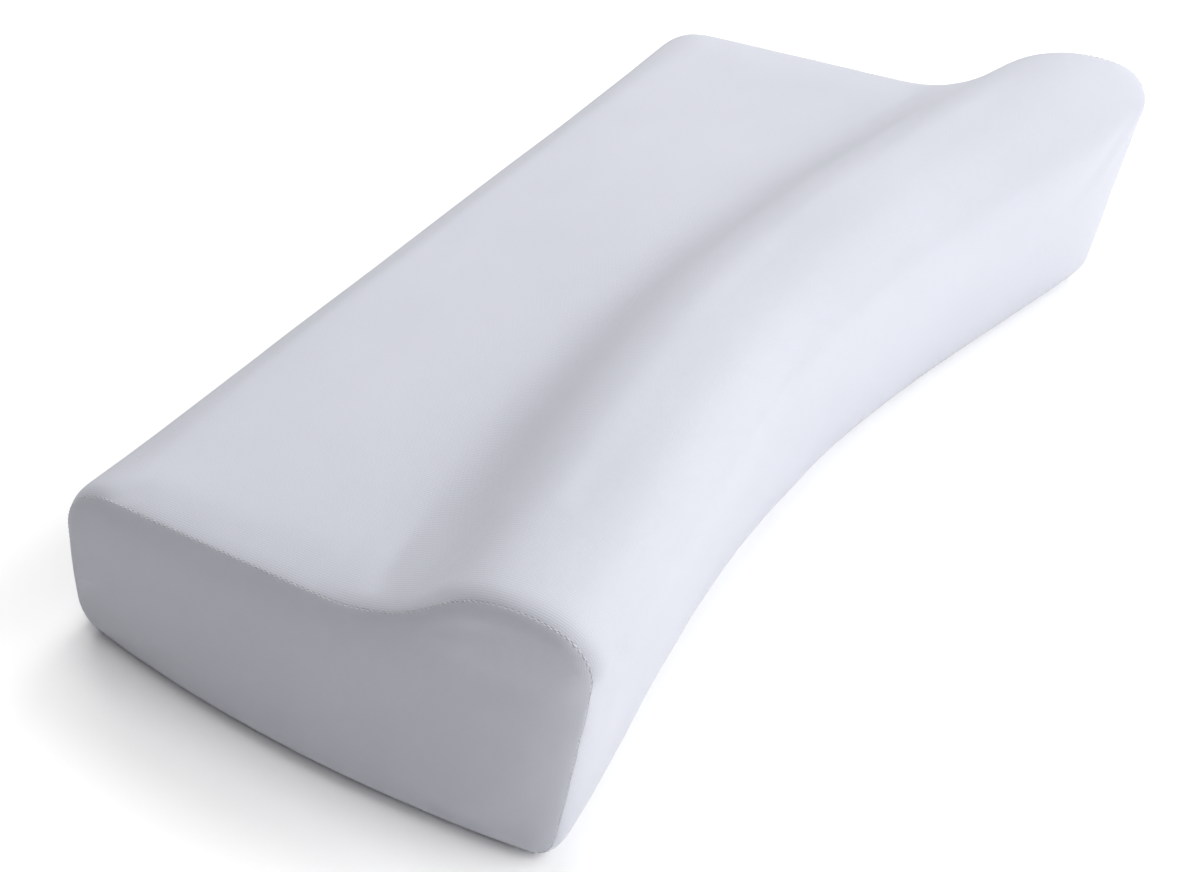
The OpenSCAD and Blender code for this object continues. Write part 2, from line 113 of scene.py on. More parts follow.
def make_floor():
    """White floor that turns into an evenly white studio further out."""
    corners = [(x * FLOOR_HALF, y * FLOOR_HALF, 0) for x, y in ((-1, -1), (1, -1), (1, 1), (-1, 1))]
    mesh = bpy.data.meshes.new("floor")
    mesh.from_pydata(corners, [], [(0, 1, 2, 3)])
    floor = bpy.data.objects.new("floor", mesh)
    bpy.context.scene.collection.objects.link(floor)
    n = Nodes("floor_white")
    place = n.node("ShaderNodeTexCoord").outputs["Object"]
    reach = n.node("ShaderNodeVectorMath", operation="LENGTH")
    n.put(reach.inputs[0], place)
    span = {"Value": reach.outputs["Value"], "From Min": GLOW_FROM, "From Max": GLOW_TO}
    far = n.node("ShaderNodeMapRange", span, interpolation_type="SMOOTHSTEP").outputs[0]
    n.set(Base_Color=n.mix(far, (0.96, 0.96, 0.96, 1), (0, 0, 0, 1)), Roughness=0.9, Specular_IOR_Level=0.1,
          Emission_Color=WHITE, Emission_Strength=n.math("MULTIPLY", far, GLOW))
    mesh.materials.append(n.material)
    return floor


def surroundings():
    """A world that is white to look at but gives little light, the floor and the lights."""
    scene = bpy.context.scene
    scene.view_settings.view_transform = "Standard"
    world = bpy.data.worlds.new("studio")
    world.use_nodes = True
    tree = world.node_tree
    dim = tree.nodes["Background"]
    dim.inputs[0].default_value = WHITE
    dim.inputs[1].default_value = WORLD_LIGHT
    seen = tree.nodes.new("ShaderNodeBackground")
    seen.inputs[0].default_value = WHITE
    seen.inputs[1].default_value = GLOW
    mix = tree.nodes.new("ShaderNodeMixShader")
    path = tree.nodes.new("ShaderNodeLightPath")
    tree.links.new(path.outputs["Is Camera Ray"], mix.inputs[0])
    tree.links.new(dim.outputs[0], mix.inputs[1])
    tree.links.new(seen.outputs[0], mix.inputs[2])
    tree.links.new(mix.outputs[0], tree.nodes["World Output"].inputs[0])
    scene.world = world
    only_floor = bpy.data.collections.new("only_floor")
    only_floor.objects.link(make_floor())
    for name, toward, watts, floor_only in LIGHTS:
        light = area_light(name, toward, watts)
        if floor_only:
            light.light_linking.receiver_collection = only_floor


# ---------------------------------------------------------------- the pillow's form, in millimetres
HALF_LEN = 238.0
BACK_FOOT = 162.4
REST_HEIGHT = 98.5
ROLL_HEIGHT = 138.0
BACK_LEAN = 13.0
LOW_BACK_R = 16.0
TOP_BACK_R = 42.0
HOLLOW_R = 100.0
MID_HOLLOW_R = 50.0
HOLLOW_START = -15.9
RISE_ANGLE = 36.5
CREST_R = 76.0
CREST_END = 102.0
NOSE_R = 21.0
FRONT_ANGLE = 196.4
LOW_FRONT_R = 18.0
SHOULDER_DEPTH = 40.0
SHOULDER_POWER = 1.2
END_R = 11.0
END_BULGE = 15.0
STRAIGHT_STRIP = 20.0
ZIP_HEIGHT = 41.0
ZIP_HALF_GAP = 4.0
FLAT_HALF = HALF_LEN - END_R


def way(angle):
    """Unit vector [y, z] at an angle above +Y, in degrees."""
    return np.array([np.cos(np.radians(angle)), np.sin(np.radians(angle))])


back_face = way(BACK_LEAN)
front_face = way(FRONT_ANGLE)
back_reach = BACK_FOOT * back_face[0]
low_back_mid = np.array([(back_reach - LOW_BACK_R * (1 + back_face[1])) / back_face[0], LOW_BACK_R])
top_back_z = REST_HEIGHT - TOP_BACK_R
top_back_mid = np.array([(back_reach - TOP_BACK_R - top_back_z * back_face[1]) / back_face[0], top_back_z])
hollow_mid = np.array([HOLLOW_START, REST_HEIGHT + HOLLOW_R])
rise_face = way(90 - RISE_ANGLE)
crest_z = ROLL_HEIGHT - CREST_R
crest_y = HOLLOW_START - (CREST_R + HOLLOW_R + (crest_z - hollow_mid[1]) * rise_face[1]) / rise_face[0]
crest_mid = np.array([crest_y, crest_z])
nose_mid = crest_mid + (CREST_R - NOSE_R) * way(CREST_END)
front_reach = nose_mid @ front_face + NOSE_R
low_front_mid = np.array([(front_reach - LOW_FRONT_R * (1 + front_face[1])) / front_face[0], LOW_FRONT_R])
section_mid = (BACK_FOOT + nose_mid[0] - NOSE_R) / 2
section_half = (BACK_FOOT - nose_mid[0] + NOSE_R) / 2


def arc(mid, radius, first, last):
    """Part of the section: its points at t from 0 to 1, at a depth below the cover's face, and its length."""

    def points(t, depth):
        turn = np.radians(first + (last - first) * t)
        return mid + (radius - depth)[..., None] * np.stack([np.cos(turn), np.sin(turn)], -1)

    return points, abs(radius) * abs(np.radians(last - first))


def line(start, end):
    """Straight part between two parts given as (points, t)."""
    flat = np.zeros(1)

    def points(t, depth):
        a = start[0](np.full_like(depth, start[1]), depth)
        b = end[0](np.full_like(depth, end[1]), depth)
        return a + (b - a) * t[..., None]

    a, b = start[0](flat + start[1], flat), end[0](flat + end[1], flat)
    return points, float(np.linalg.norm(b - a))


def zip_line(t, depth):
    """The zip's middle on the back face."""
    at = np.array([BACK_FOOT - ZIP_HEIGHT * np.tan(np.radians(BACK_LEAN)), ZIP_HEIGHT])
    return at - depth[..., None] * back_face


top_back = arc(top_back_mid, TOP_BACK_R, BACK_LEAN, 90)
hollow = arc(hollow_mid, -HOLLOW_R, 90, 90 - RISE_ANGLE)
crest = arc(crest_mid, CREST_R, 90 - RISE_ANGLE, CREST_END)
nose = arc(nose_mid, NOSE_R, CREST_END, FRONT_ANGLE)
low_front = arc(low_front_mid, LOW_FRONT_R, FRONT_ANGLE, 270)
low_back = arc(low_back_mid, LOW_BACK_R, -90, BACK_LEAN)
parts = [
    line((zip_line, 0), (top_back[0], 0)),
    top_back,
    line((top_back[0], 1), (hollow[0], 0)),
    hollow,
    line((hollow[0], 1), (crest[0], 0)),
    crest,
    nose,
    line((nose[0], 1), (low_front[0], 0)),
    low_front,
    line((low_front[0], 1), (low_back[0], 0)),
    low_back,
    line((low_back[0], 1), (zip_line, 0)),
]
ends = np.cumsum([0.0] + [p[1] for p in parts])
AROUND = ends[-1]
# Middles of the arcs top_back, nose, low_front (where the front seam runs) and low_back
TOP_CORNER = (ends[1] + ends[2]) / 2
NOSE_CORNER = (ends[6] + ends[7]) / 2
FRONT_SEAM = (ends[8] + ends[9]) / 2
BACK_CORNER = (ends[10] + ends[11]) / 2


def section(s, depth):
    """Points [y, z] of the section at distances s around it, from the zip over the top."""
    s = np.mod(s, AROUND)
    s, depth = np.broadcast_arrays(s, depth)
    out = np.zeros(s.shape + (2,))
    for k, (points, length) in enumerate(parts):
        here = (s >= ends[k]) & (s <= ends[k + 1])
        if here.any():
            out[here] = points((s[here] - ends[k]) / length, depth[here])
    return out


def hollow_top(y, r):
    """Height of the top at y where the hollow has radius r and meets the same rise."""
    run = HOLLOW_START - (HOLLOW_R - r) * np.tan(radians(RISE_ANGLE / 2)) - y
    reach = r * np.sin(radians(RISE_ANGLE))
    turned = np.clip(run, 0, reach)
    rise = np.maximum(0, run - reach) * np.tan(radians(RISE_ANGLE))
    return REST_HEIGHT + r - np.sqrt(r * r - turned**2) + rise


def shaped(x, p):
    """A straight pillow's points moved to their place: hollow, shoulder curve, bulging end faces."""
    y, z = p[..., 0], p[..., 1]
    u = np.clip(np.abs(x) / HALF_LEN, 0, 1)
    curve = SHOULDER_DEPTH * np.cos(np.pi / 2 * u).clip(0) ** SHOULDER_POWER
    from_back = BACK_FOOT - STRAIGHT_STRIP
    t = np.clip((from_back - y) / (from_back - HOLLOW_START), 0, 1)
    low = 1 - np.clip(z / REST_HEIGHT, 0, 1)
    off_mid = (y - section_mid) / section_half
    bulge = END_BULGE * low * np.maximum(0, 1 - off_mid**2) * u * u
    dip = hollow_top(y, MID_HOLLOW_R) - hollow_top(y, HOLLOW_R)
    z = z + dip * (1 - u * u) * np.clip(z / REST_HEIGHT, 0, 1)
    return np.stack([x + np.sign(x) * bulge, y + curve * t * t * (3 - 2 * t), z], -1)


# Columns around the section. The four corners split it into back, top, front and bottom, and the
# end faces are filled between them, so that opposite sides have the same number of steps.
BACK_STEPS, TOP_STEPS = 19, 52
EDGE = 1.0  # the row next to a seam
CLOSED_GAP = 0.25  # half of the slit between the panels beyond the zip's ends


def columns(opening):
    """Distances around the section of the grid's columns, for half of the zip's opening."""
    low_steps = 6
    up = opening + EDGE
    return np.concatenate([
        [0, opening],
        np.linspace(up, TOP_CORNER, BACK_STEPS - low_steps - 3)[:-1],
        np.linspace(TOP_CORNER, NOSE_CORNER, TOP_STEPS + 1)[:-1],
        np.linspace(NOSE_CORNER, FRONT_SEAM - EDGE, BACK_STEPS)[:-1],
        [FRONT_SEAM - EDGE, FRONT_SEAM],
        np.linspace(FRONT_SEAM + EDGE, BACK_CORNER, TOP_STEPS)[:-1],
        np.linspace(BACK_CORNER, AROUND - up, low_steps + 1)[:-1],
        [AROUND - up, AROUND - opening],
    ])


COLS = len(columns(ZIP_HALF_GAP))
CORNERS = (TOP_CORNER, NOSE_CORNER, FRONT_SEAM, BACK_CORNER)
corner_cols = [int(np.argmin(abs(columns(ZIP_HALF_GAP) - c))) for c in CORNERS]
SEAM_COL = corner_cols[2]
TURNS = [0, 20, 40, 45, 50, 70, 90]
SEAM_TURN = 45
BODY_STEPS = 76
# The zip's opening closes between these distances from mid-length
GAP_ENDS = (211.0, 222.0)
# Beyond this distance the strip over the zip belongs to the panels beside it
PANELS_MEET = 220.0
# How far from the zip its own depth still counts
ZIP_DEPTH_REACH = 14.0
# Numbers of the panels
TOP, BASE, LEFT, RIGHT, GAP = range(5)


def half_gap(x):
    """Half of the zip's opening at a distance from mid-length."""
    t = np.clip((abs(x) - GAP_ENDS[0]) / (GAP_ENDS[1] - GAP_ENDS[0]), 0, 1)
    return ZIP_HALF_GAP + (CLOSED_GAP - ZIP_HALF_GAP) * t * t * (3 - 2 * t)


def stations():
    """(side, turn, straight x) of every ring of the grid, end to end."""
    return (
        [(-1, t, -FLAT_HALF) for t in reversed(TURNS[1:])]
        + [(0, 0, x) for x in np.linspace(-FLAT_HALF, FLAT_HALF, BODY_STEPS + 1)]
        + [(1, t, FLAT_HALF) for t in TURNS[1:]]
    )


def coons(rows, cols, bottom, top, left, right):
    """Grid of points between four sides; bottom and top have cols + 1 points, left and right rows + 1."""
    u = np.linspace(0, 1, cols + 1)[None, :, None]
    v = np.linspace(0, 1, rows + 1)[:, None, None]
    ruled = (1 - v) * bottom[None] + v * top[None] + (1 - u) * left[:, None] + u * right[:, None]
    corners = (1 - u) * (1 - v) * bottom[0] + u * (1 - v) * bottom[-1]
    corners = corners + (1 - u) * v * top[0] + u * v * top[-1]
    return ruled - corners


class Skin:
    """Closed grid over the whole pillow at a depth below the cover's face."""

    def __init__(self, depth, near_zip=None):
        near_zip = depth if near_zip is None else near_zip
        rings, uvs, self.info = [], [], stations()
        for side, turn, x in self.info:
            s = columns(half_gap(x if side == 0 else HALF_LEN))
            from_zip = np.minimum(s, AROUND - s)
            d = depth + (near_zip - depth) * np.exp(-((from_zip / ZIP_DEPTH_REACH) ** 2))
            if side:
                at = side * (FLAT_HALF + (END_R - d) * np.sin(radians(turn)))
                d = END_R - (END_R - d) * np.cos(radians(turn))
            else:
                at = np.full_like(s, x)
            rings.append(shaped(at, section(s, d)))
            reach = x + side * END_R * radians(turn)
            uvs.append(np.stack([np.full_like(s, reach), s], -1))
        self.rings, self.uvs = np.array(rings), np.array(uvs)
        n_rings = len(rings)
        a, b, c, d = corner_cols
        index = np.arange(n_rings * COLS).reshape(n_rings, COLS)
        co = [self.rings.reshape(-1, 3)]
        faces, panel, face_uv = [], [], []
        self.seam_rings = [i for i, (side, turn, x) in enumerate(self.info) if turn == SEAM_TURN]
        self.index = index
        for i in range(n_rings - 1):
            end = LEFT if i < self.seam_rings[0] else RIGHT if i >= self.seam_rings[1] else None
            beyond = min(abs(self.info[i][2]), abs(self.info[i + 1][2])) > PANELS_MEET
            for j in range(COLS):
                k = (j + 1) % COLS
                around = ((i, j), (i, k), (i + 1, k), (i + 1, j))
                faces.append(tuple(index[q] for q in around))
                if end is None:
                    over_zip = j in (0, COLS - 1) and not beyond
                    panel.append(GAP if over_zip else TOP if j < SEAM_COL else BASE)
                    wrap = [0, AROUND if k == 0 else 0]
                    face_uv.append([self.uvs[q] + wrap if q[1] == k else self.uvs[q] for q in around])
                else:
                    panel.append(end)
                    face_uv.append([self.end_uv(*q) for q in around])
        total = n_rings * COLS
        for side, ring, end in ((-1, 0, LEFT), (1, n_rings - 1, RIGHT)):
            rim = index[ring]
            loop = lambda p, q: [rim[m % COLS] for m in range(p, q + 1)]
            top, front, bottom, back = loop(a, b), loop(b, c), loop(c, d), loop(d, a + COLS)
            flat = section(columns(half_gap(HALF_LEN)), np.full(COLS, END_R))
            where = lambda ids: np.array([flat[m - ring * COLS] for m in ids])
            # u runs from the back to the front, v from the bottom up
            sides = [where(ids) for ids in (bottom[::-1], top, back, front[::-1])]
            grid = coons(len(back) - 1, len(top) - 1, *sides)
            ids = np.zeros(grid.shape[:2], int)
            ids[0], ids[-1], ids[:, 0], ids[:, -1] = bottom[::-1], top, back, front[::-1]
            inner = grid[1:-1, 1:-1]
            ids[1:-1, 1:-1] = total + np.arange(inner.shape[0] * inner.shape[1]).reshape(inner.shape[:2])
            total += inner.shape[0] * inner.shape[1]
            x = np.full(inner.shape[:2], side * (HALF_LEN - depth))
            co.append(shaped(x, inner).reshape(-1, 3))
            for v in range(ids.shape[0] - 1):
                for u in range(ids.shape[1] - 1):
                    quad = [(v, u), (v, u + 1), (v + 1, u + 1), (v + 1, u)]
                    if side > 0:
                        quad = quad[::-1]
                    faces.append(tuple(ids[q] for q in quad))
                    panel.append(end)
                    face_uv.append([grid[q] for q in quad])
        self.co = np.concatenate(co) * MM
        self.faces, self.panel, self.face_uv = faces, panel, np.array(face_uv) * MM

    def end_uv(self, i, j):
        """An end panel's cloth laid flat: the end face's own plane, carried on around its edge."""
        side, turn, x = self.info[i]
        s = columns(half_gap(HALF_LEN))[j]
        rim = section(np.array([s]), np.array([END_R]))[0]
        out = section(np.array([s]), np.array([0.0]))[0] - rim
        return rim + out / END_R * END_R * radians(90 - turn)

    def mesh(self, name):
        mesh = bpy.data.meshes.new(name)
        mesh.from_pydata(self.co.tolist(), [], [tuple(int(v) for v in f) for f in self.faces])
        mesh.polygons.foreach_set("material_index", self.panel)
        mesh.polygons.foreach_set("use_smooth", [True] * len(mesh.polygons))
        layer = mesh.uv_layers.new(name="cloth")
        layer.data.foreach_set("uv", self.face_uv.reshape(-1).astype(np.float32))
        for _ in (TOP, BASE, LEFT, RIGHT, GAP):
            mesh.materials.append(None)
        mesh.update()
        return mesh


def add_object(name, mesh):
    obj = bpy.data.objects.new(name, mesh)
    bpy.context.scene.collection.objects.link(obj)
    return obj


def applied(obj):
    """The object's mesh with its modifiers applied."""
    graph = bpy.context.evaluated_depsgraph_get()
    mesh = bpy.data.meshes.new_from_object(obj.evaluated_get(graph), depsgraph=graph)
    obj.modifiers.clear()
    obj.data = mesh
    return obj


def positions(mesh):
    co = np.zeros(len(mesh.vertices) * 3, np.float32)
    mesh.vertices.foreach_get("co", co)
    return co.reshape(-1, 3).astype(float)


def normals(mesh):
    co = np.zeros(len(mesh.vertices) * 3, np.float32)
    mesh.vertices.foreach_get("normal", co)
    return co.reshape(-1, 3).astype(float)


PRESSURE = 4.0
FRAMES = 20
QUALITY = 5
MOST_SWELL = 1.5 * MM


def inflate(obj, held):
    """How far each point moves when the closed cover, held along its seams, swells like a filled case."""
    group = obj.vertex_groups.new(name="held")
    group.add([int(v) for v in held], 1.0, "REPLACE")
    cloth = obj.modifiers.new("cloth", "CLOTH")
    cloth.settings.use_pressure = True
    cloth.settings.uniform_pressure_force = PRESSURE
    cloth.settings.vertex_group_mass = "held"
    cloth.settings.effector_weights.gravity = 0
    cloth.settings.quality = QUALITY
    cloth.point_cache.frame_start, cloth.point_cache.frame_end = 1, FRAMES
    scene = bpy.context.scene
    for f in range(1, FRAMES + 1):
        scene.frame_set(f)
    start = positions(obj.data)
    graph = bpy.context.evaluated_depsgraph_get()
    swollen = positions(obj.evaluated_get(graph).to_mesh())
    obj.modifiers.remove(cloth)
    scene.frame_set(1)
    move = swollen - start
    size = np.linalg.norm(move, axis=1, keepdims=True)
    move *= MOST_SWELL * np.tanh(size / MOST_SWELL) / np.maximum(size, 1e-9)
    return move


def split(obj, names):
    """New objects, one for each panel number in names, cut from a mesh by material index."""
    made = []
    for number, name in names.items():
        bm = bmesh.new()
        bm.from_mesh(obj.data)
        others = [f for f in bm.faces if f.material_index != number]
        bmesh.ops.delete(bm, geom=others, context="FACES")
        loose = [v for v in bm.verts if not v.link_faces]
        bmesh.ops.delete(bm, geom=loose, context="VERTS")
        for f in bm.faces:
            f.material_index = 0
        mesh = bpy.data.meshes.new(name)
        bm.to_mesh(mesh)
        bm.free()
        made.append(add_object(name, mesh))
    return made


def thicken(obj, thickness):
    """Gives a panel its cloth's thickness, inwards, with its rim closed."""
    solid = obj.modifiers.new("cloth_thickness", "SOLIDIFY")
    solid.thickness = thickness
    solid.offset = -1
    solid.use_rim = True
    return applied(obj)


def dress(obj, material, body, node):
    """Gives a piece its material and body, and puts it in a CAD node's place."""
    obj.data.materials.clear()
    obj.data.materials.append(material)
    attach(obj, body)
    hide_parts(node)
    return obj


# ---------------------------------------------------------------- materials
class Nodes:
    """Shorthand for one material's node tree."""

    def __init__(self, name):
        self.material = bpy.data.materials.new(name)
        self.material.use_nodes = True
        self.tree = self.material.node_tree
        self.shader = self.tree.nodes["Principled BSDF"]

    def node(self, kind, inputs=(), **settings):
        n = self.tree.nodes.new(kind)
        for k, v in settings.items():
            setattr(n, k, v)
        for k, v in dict(inputs).items():
            self.put(n.inputs[k], v)
        return n

    def put(self, socket, value):
        if isinstance(value, bpy.types.NodeSocket):
            self.tree.links.new(value, socket)
        else:
            socket.default_value = value

    def math(self, operation, a, b=0.0, c=0.0):
        n = self.node("ShaderNodeMath", operation=operation)
        for socket, value in zip(n.inputs, (a, b, c)):
            self.put(socket, value)
        return n.outputs[0]

    def noise(self, vector, scale, detail=2.0, roughness=0.5):
        values = {"Vector": vector, "Scale": scale, "Detail": detail, "Roughness": roughness}
        return self.node("ShaderNodeTexNoise", values).outputs[0]

    def scaled(self, value, low, high, new_low, new_high):
        values = {"Value": value, "From Min": low, "From Max": high, "To Min": new_low, "To Max": new_high}
        return self.node("ShaderNodeMapRange", values).outputs[0]

    def mix(self, factor, a, b):
        n = self.node("ShaderNodeMix", data_type="RGBA")
        self.put(n.inputs[0], factor)
        self.put(n.inputs[6], a)
        self.put(n.inputs[7], b)
        return n.outputs[2]

    def bump(self, height, strength, distance):
        values = {"Height": height, "Strength": strength, "Distance": distance}
        return self.node("ShaderNodeBump", values).outputs[0]

    def set(self, **values):
        for k, v in values.items():
            self.put(self.shader.inputs[k.replace("_", " ")], v)
        return self.material


def knit(name, colour, shade, wale, course, depth, sheen=0.25):
    """Fine weft knit: V-shaped loops in wales and courses, a little fuzz, slow colour changes, and painted
    shade between the loops.
    """
    n = Nodes(name)
    place = n.node("ShaderNodeUVMap", uv_map="cloth").outputs[0]
    at = n.node("ShaderNodeSeparateXYZ", {"Vector": place})
    across = n.math("DIVIDE", at.outputs[0], wale)
    along = n.math("DIVIDE", at.outputs[1], course)
    in_wale = n.math("FRACT", across)
    slant = n.math("ABSOLUTE", n.math("SUBTRACT", in_wale, 0.5))
    loops = n.math("ADD", along, n.math("MULTIPLY", slant, 1.3))
    loops = n.math("SINE", n.math("MULTIPLY", loops, 2 * np.pi))
    ribs = n.math("SINE", n.math("MULTIPLY", in_wale, np.pi))
    ribs = n.math("POWER", ribs, 0.5)
    surface = n.math("MULTIPLY", n.math("ADD", n.math("MULTIPLY", loops, 0.35), 0.65), ribs)
    cloudy = n.noise(place, 9.0, 3.0)
    fuzz = n.noise(place, 2600.0, 2.0, 0.6)
    cloudy = n.math("MULTIPLY", n.scaled(cloudy, 0.3, 0.7, 0.0, 1.0), 0.5)
    # Painted shade: the cloth is coloured darker where the knit is low, between the loops
    painted_shade_between_loops = n.math("MULTIPLY", n.scaled(surface, 0, 1, 1.0, 0.0), 0.5)
    tone = n.math("ADD", n.math("ADD", cloudy, painted_shade_between_loops), n.scaled(fuzz, 0.3, 0.7, -0.15, 0.15))
    tint = n.mix(tone, colour, shade)
    height = n.math("ADD", surface, n.math("MULTIPLY", fuzz, 0.35))
    rough = n.scaled(fuzz, 0.3, 0.7, 0.78, 0.92)
    return n.set(Base_Color=tint, Roughness=rough, Normal=n.bump(height, 0.6, depth), Sheen_Weight=sheen,
                 Sheen_Roughness=0.45, Specular_IOR_Level=0.25)


def moulded(name, colour, shade, roughness, grain=900.0, metallic=0.0):
    """Moulded plastic or painted metal with a fine grain and slow colour changes."""
    n = Nodes(name)
    place = n.node("ShaderNodeTexCoord").outputs["Object"]
    fine = n.noise(place, grain, 3.0)
    broad = n.noise(place, 60.0, 3.0, 0.6)
    tint = n.mix(n.scaled(broad, 0.35, 0.65, 0.0, 1.0), colour, shade)
    rough = n.scaled(fine, 0.3, 0.7, roughness * 0.85, min(1.0, roughness * 1.2))
    return n.set(Base_Color=tint, Roughness=rough, Metallic=metallic, Normal=n.bump(fine, 0.25, 0.00006))


RIB_PITCH, PICK_PITCH = 0.9 * MM, 0.6 * MM


def woven_tape(name, colour, shade):
    """Twill tape: fine slanted ribs with thread-sized variation, and painted shade in the grooves between the
    ribs.
    """
    n = Nodes(name)
    place = n.node("ShaderNodeTexCoord").outputs["Object"]
    at = n.node("ShaderNodeSeparateXYZ", {"Vector": place})
    slant = n.math("ADD", at.outputs[0], n.math("MULTIPLY", at.outputs[2], 1.4))
    ribs = n.math("SINE", n.math("MULTIPLY", slant, 2 * np.pi / RIB_PITCH))
    picks = n.math("SINE", n.math("MULTIPLY", at.outputs[2], 2 * np.pi / PICK_PITCH))
    height = n.math("ADD", n.math("MULTIPLY", ribs, 0.7), n.math("MULTIPLY", picks, 0.3))
    fibre = n.noise(place, 1800.0, 2.0)
    # Painted shade: the tape is coloured darker where the ribs are low, in the grooves between them
    tint = n.mix(n.scaled(height, -1, 1, 1.0, 0.0), colour, shade)
    rough = n.scaled(fibre, 0.3, 0.7, 0.7, 0.9)
    return n.set(Base_Color=tint, Roughness=rough, Normal=n.bump(height, 0.5, 0.0002), Sheen_Weight=0.2)


def foam(name):
    """Open-cell foam: tiny pits of mixed size over a creamy body, with painted shade in the pits."""
    n = Nodes(name)
    place = n.node("ShaderNodeTexCoord").outputs["Object"]
    cells = n.node("ShaderNodeTexVoronoi", {"Vector": place, "Scale": 1100.0}).outputs["Distance"]
    pits = n.node("ShaderNodeTexVoronoi", {"Vector": place, "Scale": 420.0}).outputs["Distance"]
    broad = n.noise(place, 14.0, 3.0)
    deep = n.math("MULTIPLY", n.scaled(pits, 0.0, 0.35, 0.0, 1.0), 0.5)
    height = n.math("ADD", n.math("MULTIPLY", cells, 0.5), deep)
    # Painted shade: the foam is coloured darker where its surface is low, in the pits
    tint = n.mix(n.scaled(height, 0.2, 0.8, 0.0, 1.0), (0.55, 0.50, 0.38, 1), (0.80, 0.76, 0.64, 1))
    tint = n.mix(n.scaled(broad, 0.35, 0.7, 0.0, 0.25), tint, (0.82, 0.74, 0.55, 1))
    rough = n.scaled(pits, 0, 0.4, 0.85, 0.97)
    return n.set(Base_Color=tint, Roughness=rough, Normal=n.bump(height, 0.7, 0.0006), Specular_IOR_Level=0.2)


cover_cloth = knit("cover_cloth", (0.602, 0.613, 0.678, 1), (0.545, 0.556, 0.618, 1),
                   wale=1.1 * MM, course=0.8 * MM, depth=0.12 * MM)
liner_cloth = knit("liner_cloth", (0.70, 0.70, 0.70, 1), (0.55, 0.55, 0.56, 1),
                   wale=1.6 * MM, course=1.3 * MM, depth=0.3 * MM, sheen=0.1)
thread = moulded("thread", (0.62, 0.63, 0.66, 1), (0.52, 0.53, 0.56, 1), roughness=0.8, grain=2500.0)
tape = woven_tape("zip_tape", (0.66, 0.67, 0.70, 1), (0.48, 0.49, 0.52, 1))
plastic = moulded("zip_plastic", (0.72, 0.73, 0.75, 1), (0.66, 0.67, 0.70, 1), roughness=0.38)
painted = moulded("slider_metal", (0.62, 0.63, 0.65, 1), (0.55, 0.56, 0.58, 1),
                  roughness=0.3, grain=700.0, metallic=0.35)
foam_skin = foam("foam")

# ---------------------------------------------------------------- cover
# Depths in millimetres below the CAD face: where the cover starts before it swells, where it starts
# beside the zip, and how much deeper the seams are pulled
START_DEPTH = 0.8
ZIP_DEPTH = 0.3
SEAM_SINK = 0.3
CLOTH_THICK = 1.0 * MM
UNDERSIDE_TOP = 0.3 * MM  # points that started on the underside stay below this height
SAME_DEPTH = 0.05
PUCKER = 0.22 * MM  # height of the small waves that sewing leaves beside a seam
PUCKER_WAVE = 13 * MM
PUCKER_REACH = 11 * MM
ZIP_PUCKER = 0.8  # share of that height beside the zip
ZIP_PUCKER_REACH = 12.0
BACK_FROM = 0.13  # the back face lies beyond this Y, in metres
SLACK = 0.35 * MM  # height of the slow unevenness of the whole cover
SLACK_WAVE = 60 * MM
SLACK_FROM = 8 * MM  # it is at its full height from here up


def pucker(co):
    """Height to add at each point: waves beside the end seams and the zip, and a slow unevenness."""
    seam_x = (FLAT_HALF + END_R * np.sin(radians(SEAM_TURN))) * MM
    from_seam = np.abs(np.abs(co[:, 0]) - seam_x)
    near = np.exp(-((from_seam / PUCKER_REACH) ** 2))
    on_back = co[:, 1] > BACK_FROM
    near_zip = on_back * np.exp(-((co[:, 2] / MM - ZIP_HEIGHT) / ZIP_PUCKER_REACH) ** 2)
    high = np.array([noise.noise(Vector(c) / PUCKER_WAVE) for c in co])
    slow = np.array([noise.noise(Vector(c) / SLACK_WAVE) for c in co])
    open_skin = np.clip(co[:, 2] / SLACK_FROM, 0, 1) * (1 - near_zip)
    return PUCKER * high * np.maximum(near, ZIP_PUCKER * near_zip) + SLACK * slow * open_skin * (1 - near)


STRAND_RINGS, STRAND_SIDES = 7, 8


def stitches(name, path, out, pitch, length, radius, arch, node):
    """A row of thread stitches along a path, each a rounded strand whose ends dip into the cloth."""
    step = np.linalg.norm(np.diff(path, axis=0), axis=1)
    at = np.concatenate([[0], np.cumsum(step)])
    count = int(at[-1] / pitch)
    rings, sides = STRAND_RINGS, STRAND_SIDES
    verts, faces = [], []
    for k in range(count):
        middle = (k + 0.5) * at[-1] / count
        t = np.linspace(-0.5, 0.5, rings)
        s = middle + t * length
        strand = np.stack([np.interp(s, at, path[:, i]) for i in range(3)], -1)
        up = np.array([np.interp(middle, at, out[:, i]) for i in range(3)])
        ahead = strand[-1] - strand[0]
        ahead /= np.linalg.norm(ahead)
        up -= ahead * (up @ ahead)
        up /= np.linalg.norm(up)
        side = np.cross(ahead, up)
        thick = radius * np.sqrt(np.clip(1 - (1.9 * t) ** 4, 0.05, 1)) * rng.uniform(0.93, 1.07)
        lift = arch * (1 - (2 * t) ** 2) - arch / 2
        base = len(verts)
        for i in range(rings):
            for q in range(sides):
                a = 2 * np.pi * q / sides
                verts.append(strand[i] + up * (lift[i] + thick[i] * np.sin(a)) + side * thick[i] * np.cos(a))
        for i in range(rings - 1):
            for q in range(sides):
                r = (q + 1) % sides
                a, b = base + i * sides, base + (i + 1) * sides
                faces.append((a + q, b + q, b + r, a + r))
        faces.append(tuple(base + q for q in range(sides)))
        faces.append(tuple(base + (rings - 1) * sides + q for q in reversed(range(sides))))
    mesh = bpy.data.meshes.new(name)
    mesh.from_pydata([tuple(v) for v in verts], [], faces)
    mesh.polygons.foreach_set("use_smooth", [True] * len(faces))
    return dress(add_object(name, mesh), thread, "pillow", node)


